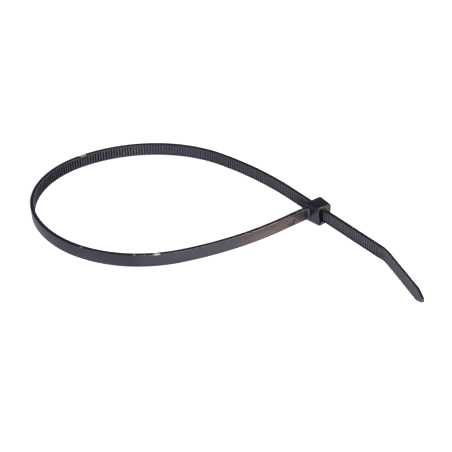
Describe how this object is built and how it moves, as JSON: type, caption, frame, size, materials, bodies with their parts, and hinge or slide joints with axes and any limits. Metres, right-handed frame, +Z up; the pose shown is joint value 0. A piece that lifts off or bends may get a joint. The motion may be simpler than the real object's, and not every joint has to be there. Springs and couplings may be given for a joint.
{
  "type": "cable tie",
  "caption": "One-piece moulded nylon cable tie closed into a long flat loop, with a wedge-shaped ratchet head and a bent, notched, pointed tail",
  "frame": {"origin": "where the centre line of the strap at the head crosses the middle of the slot in plan, at the height of the head's lower side, on which the tie lies", "axes": "+Z up, along the strap's width; the strap leaves the head along -X, the loop lies at -X and +Y, and the tail leaves the head along -Y"},
  "size_m": [0.0907, 0.1505, 0.0082],
  "materials": {
    "black_nylon": "satin moulded black nylon, a little glossy on the smooth outer face"
  },
  "bodies": {
    "root": {"cable_tie": "black_nylon"}
  },
  "joints": []
}
